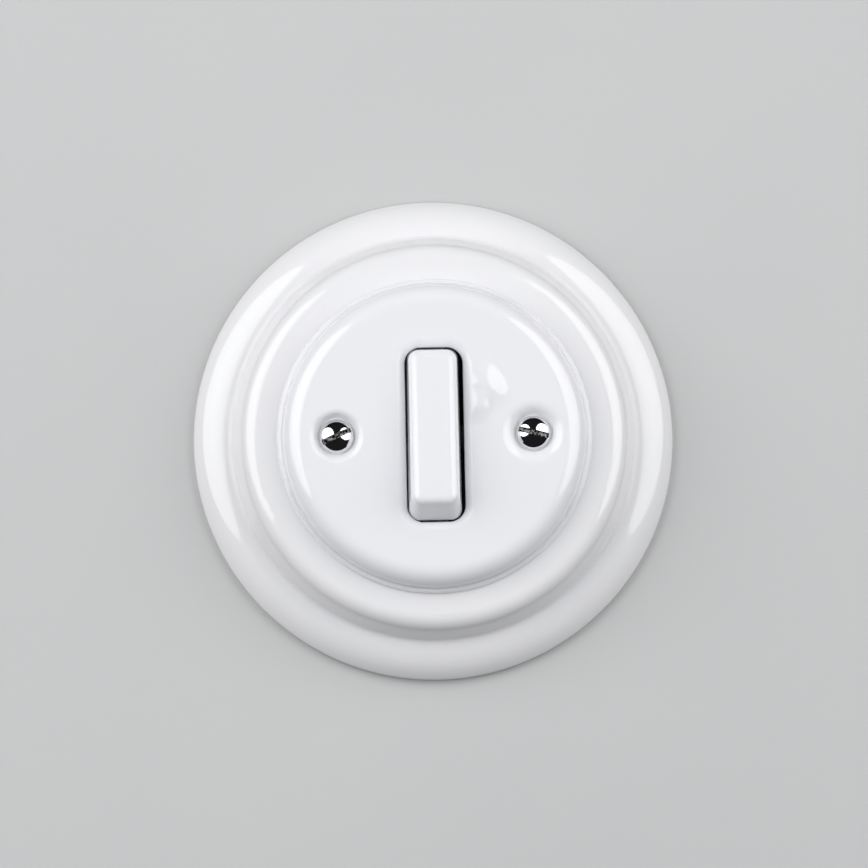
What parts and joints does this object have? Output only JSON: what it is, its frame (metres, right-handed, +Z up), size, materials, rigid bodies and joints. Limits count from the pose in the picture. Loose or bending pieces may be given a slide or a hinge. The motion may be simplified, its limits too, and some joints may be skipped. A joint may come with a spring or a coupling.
{
  "type": "rocker light switch",
  "caption": "Round glazed porcelain wall switch: stepped ring frame, rounded cover disc held by slotted screws, and a tilting rocker key over a sprung changeover contact insert.",
  "frame": {"origin": "centre of the box screw spacing, on the wall behind the middle of the cover", "axes": "+X right and +Z up as seen from the room, +Y into the wall, so the cover faces -Y"},
  "size_m": [0.1, 0.0484, 0.1],
  "materials": {
    "porcelain": "white gloss glaze",
    "chrome": "polished",
    "zinc_steel": "zinc plated",
    "bright_steel": "ground",
    "brass": "rolled",
    "silver": "silver contact rivet",
    "black_moulding": "moulded",
    "grey_moulding": "moulded"
  },
  "bodies": {
    "root": {"outer_frame": "porcelain", "cover_plate": "porcelain", "cover_screws": "chrome", "mounting_plate": "zinc_steel", "threaded_pillars": "zinc_steel", "insert_base": "grey_moulding", "bearing_bridge": "black_moulding", "base_screws": "zinc_steel", "pivot_pin": "bright_steel", "common_contact": "brass", "fixed_contact_upper": "brass", "fixed_contact_lower": "brass", "fixed_contact_tips": "silver", "terminal_common": "brass", "terminal_upper": "brass", "terminal_lower": "brass", "terminal_screws": "zinc_steel"},
    "rocker": {"rocker_key": "porcelain", "rocker_cradle": "black_moulding", "plunger_spring": "bright_steel"},
    "plunger": {"plunger": "bright_steel"},
    "contact": {"contact_blade": "brass", "moving_contact_tips": "silver"}
  },
  "joints": [
    {"name": "rocker_tilt", "type": "hinge", "parent": "root", "child": "rocker", "pos_m": [0, -0.0123, 0], "axis": [1, 0, 0], "range_deg": [0, 13]},
    {"name": "contact_tilt", "type": "hinge", "parent": "root", "child": "contact", "pos_m": [0, 0.0057, 0], "axis": [1, 0, 0], "range_deg": [-16, 0]},
    {"name": "plunger_slide", "type": "slide", "parent": "rocker", "child": "plunger", "axis": [0, -0.9936, 0.1132], "range_m": [0, 0.0008], "stiffness_N_per_m": 200, "springref_m": -0.006, "deforming": ["plunger_spring"]}
  ],
  "couplings": [
    {"joint": "contact_tilt", "follows": "rocker_tilt", "ratio": -1.2308}
  ]
}
